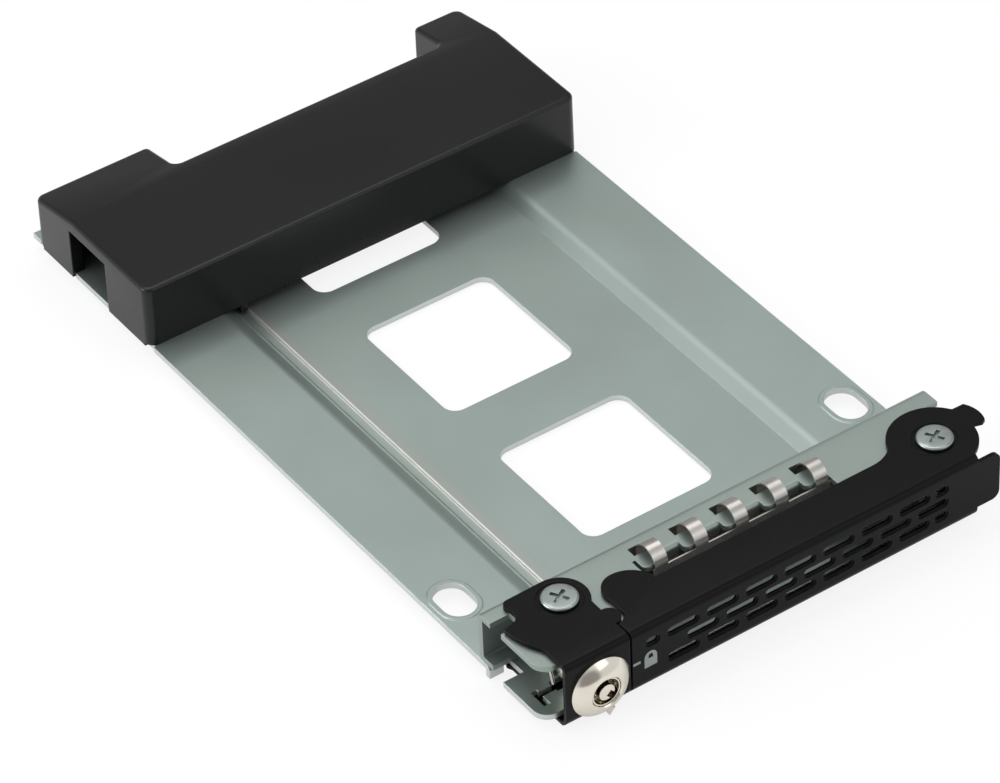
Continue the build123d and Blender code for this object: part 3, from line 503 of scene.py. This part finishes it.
# Handle and lock housing: each is one folded sheet in satin black paint, rubbed a little at its
# edges. They turn on the screws and bushes at the two ends of the channel.
black_paint = finish_material(
    "black_paint",
    colour=(0.003, 0.003, 0.003),
    wear_and_highlight_colour=(0.03, 0.03, 0.03),
    metallic=0.0,
    roughness=0.31,
    rough_spread=0.06,
    shade_spread=0.1,
    grain_scale=5000.0,
    cloud_scale=90.0,
    grain_height=0.014,
    edge_radius=0.22,
    edge_wear_and_highlight=0.5,
    specular=0.11,
)
dress("handle", black_paint)
dress("lock_housing", black_paint)

# Screws, rivets, bushes and the cam: turned or headed steel in matt blue-grey zinc. They hold the
# block, the bracket, the strip and the two hinges, and the cam turns with the lock's plug.
bright_zinc = finish_material(
    "bright_zinc",
    colour=(0.325, 0.362, 0.342),
    wear_and_highlight_colour=(0.6, 0.63, 0.64),
    metallic=1.0,
    roughness=0.31,
    grain_scale=3500.0,
    cloud_scale=300.0,
    grain_height=0.004,
    edge_radius=0.08,
    edge_wear_and_highlight=0.5,
)
for node in (
    "bracket_rivets",
    "block_screws",
    "pivot_bush",
    "pivot_screw",
    "pivot_lower_screw",
    "latch_bush",
    "latch_screw",
    "latch_lower_screw",
    "lock_cam",
    "cam_screw",
    "strip_rivets",
):
    dress(node, bright_zinc)

# Contact strip and return springs: spring steel under bright nickel, a little warm. The strip is
# bent into fingers and riveted to the channel, and each spring is wound round a hinge's bush.
spring_nickel = finish_material(
    "spring_nickel",
    colour=(0.50, 0.475, 0.44),
    wear_and_highlight_colour=(0.9, 0.88, 0.84),
    metallic=1.0,
    roughness=0.30,
    grain_scale=3000.0,
    cloud_scale=200.0,
    grain_height=0.0008,
    edge_radius=0,
    stretch=(1.0, 0.1, 0.1),
    streaks=0.05,
)
for node in ("contact_strip", "handle_spring", "latch_spring"):
    dress(node, spring_nickel)

# Lock: a small tubular lock in the housing, of die-cast and turned metal under nickel. The barrel
# is held by its nut, and the plug turns in it with the post and the pins.
lock_nickel = finish_material(
    "lock_nickel",
    colour=(0.74, 0.69, 0.60),
    wear_and_highlight_colour=(0.92, 0.9, 0.86),
    metallic=1.0,
    roughness=0.15,
    rough_spread=0.03,
    grain_scale=2500.0,
    cloud_scale=250.0,
    grain_height=0.002,
    edge_radius=0.08,
    edge_wear_and_highlight=0.4,
)
for node in ("lock_barrel", "lock_plug", "lock_post", "lock_pins", "lock_nut"):
    dress(node, lock_nickel)

# Printed marks on the handle's front: a closed padlock, and the dash that the lock's index point
# meets when the lock is shut. Both are a thin layer of pale grey ink.
ink, tree = blank_material("pale_ink")
matt = add_node(tree, "ShaderNodeBsdfPrincipled", (0, 0))
matt.inputs["Base Color"].default_value = (0.26, 0.29, 0.28, 1)
matt.inputs["Roughness"].default_value = 0.6
out = add_node(tree, "ShaderNodeOutputMaterial", (300, 0))
tree.links.new(matt.outputs[0], out.inputs["Surface"])

HANDLE_FRONT = -52.1
INK = 0.02


def ink_layer(name, outline, hole=()):
    """A flat printed shape on the handle's front, from points (x, z), with an optional hole."""
    bm = bmesh.new()
    loops = []
    for points in (outline, hole):
        corners = [bm.verts.new((x * MM, (HANDLE_FRONT - INK) * MM, z * MM)) for x, z in points]
        for i, corner in enumerate(corners):
            loops.append(bm.edges.new((corner, corners[(i + 1) % len(corners)])))
    bmesh.ops.triangle_fill(bm, use_beauty=True, edges=loops)
    grown = bmesh.ops.extrude_face_region(bm, geom=bm.faces[:])
    back = [item for item in grown["geom"] if isinstance(item, bmesh.types.BMVert)]
    bmesh.ops.translate(bm, vec=(0, INK * MM, 0), verts=back)
    bmesh.ops.recalc_face_normals(bm, faces=bm.faces)
    mesh = bpy.data.meshes.new(name)
    bm.to_mesh(mesh)
    bm.free()
    mesh.materials.append(ink)
    mark = bpy.data.objects.new(name, mesh)
    bpy.context.scene.collection.objects.link(mark)
    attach(mark, "handle")


def arch(x, z, width, height, steps=10):
    """Points of an upright shape with a half-round top, from its lower left corner round."""
    radius = width / 2
    top = z + height - radius
    angles = [math.pi * i / steps for i in range(steps + 1)]
    rise = [(x - radius * math.cos(a), top + radius * math.sin(a)) for a in angles]
    return [(x - radius, z)] + rise + [(x + radius, z)]


PADLOCK_X = -19.65
PADLOCK_Z = 4.1
padlock = arch(PADLOCK_X, PADLOCK_Z, width=1.9, height=2.5)
shackle_hole = arch(PADLOCK_X, PADLOCK_Z + 1.4, width=0.7, height=0.7)
ink_layer("padlock_mark", padlock, shackle_hole)
left, right, low, high = -22.3, -21.2, 5.35, 5.75
ink_layer("dash_mark", [(left, low), (right, low), (right, high), (left, high)])
